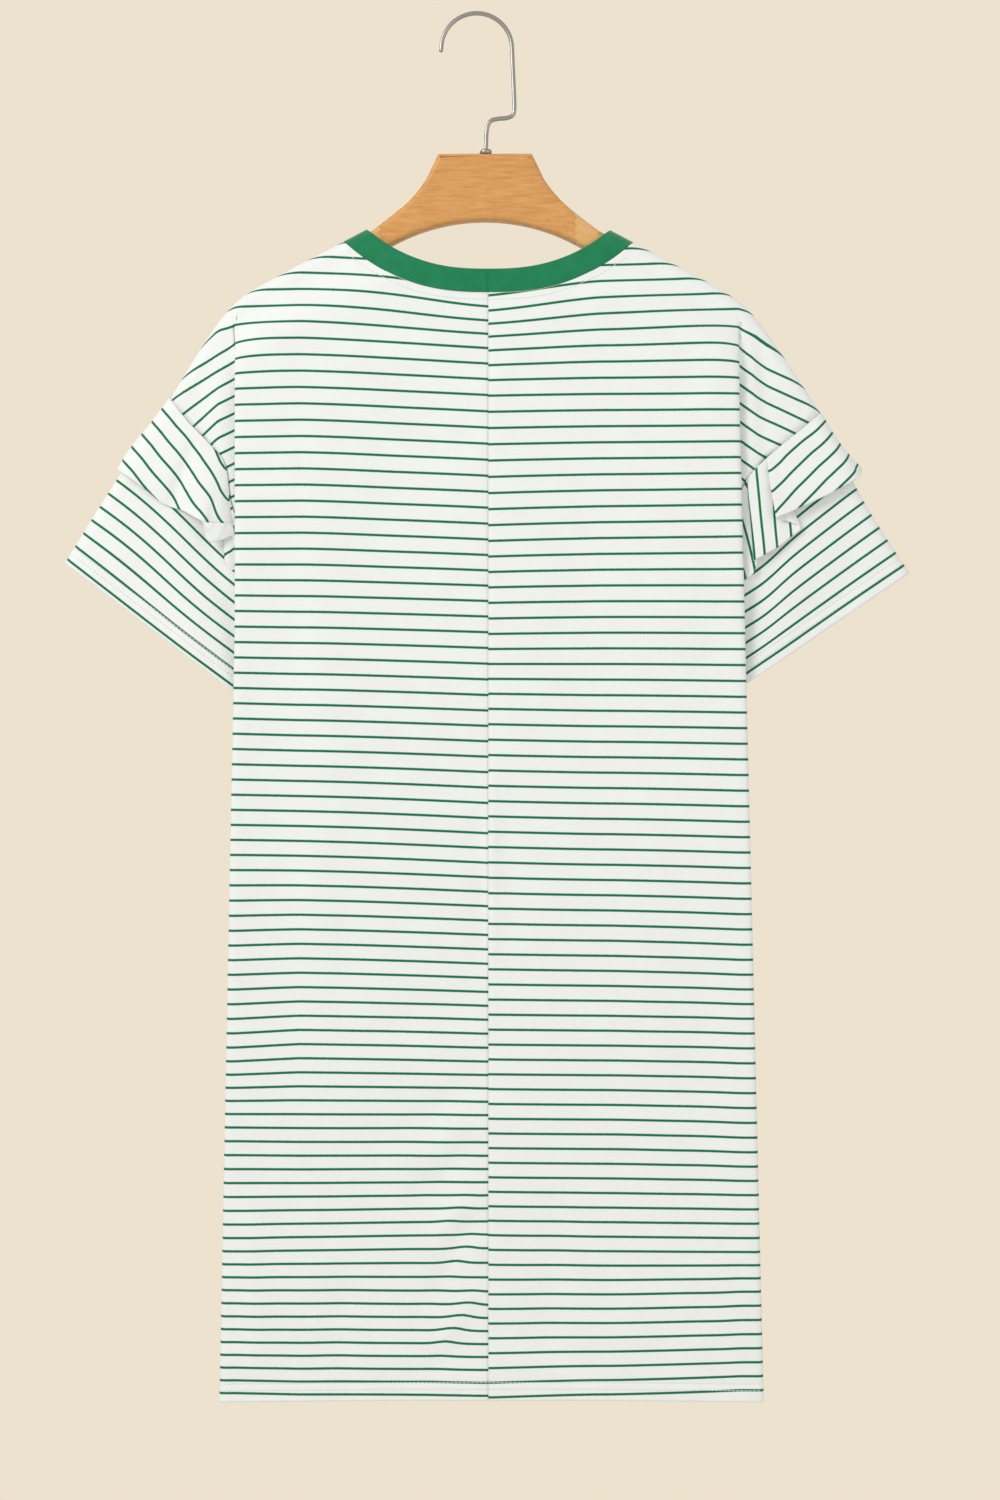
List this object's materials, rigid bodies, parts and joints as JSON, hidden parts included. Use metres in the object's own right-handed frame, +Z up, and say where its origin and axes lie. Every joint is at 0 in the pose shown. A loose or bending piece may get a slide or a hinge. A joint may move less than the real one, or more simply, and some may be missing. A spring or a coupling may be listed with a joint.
{
  "type": "t-shirt dress on a hanger",
  "caption": "Knee-length striped t-shirt dress with a rib neckband, drop shoulders and ruffled short sleeves, hung flat on a wooden hanger.",
  "frame": {"origin": "inner crown of the hanger's hook, where it rests on the rail or peg that holds it", "axes": "+Z up; -Y is the side that the dress's back faces, +Y its front; +X to the right as the back is seen"},
  "size_m": [0.659, 0.0472, 1.0804],
  "materials": {
    "striped_jersey": "soft matt cotton jersey, off-white with thin green stripes",
    "green_rib": "matt rib knit",
    "beech_wood": "satin lacquer",
    "hook_steel": "satin"
  },
  "bodies": {
    "root": {"back_left_panel": "striped_jersey", "back_right_panel": "striped_jersey", "front_panel": "striped_jersey", "neckband": "green_rib", "sleeve_left": "striped_jersey", "sleeve_right": "striped_jersey", "ruffle_left": "striped_jersey", "ruffle_right": "striped_jersey", "hanger_body": "beech_wood", "hanger_hook": "hook_steel", "hook_ferrule": "hook_steel"}
  },
  "joints": []
}
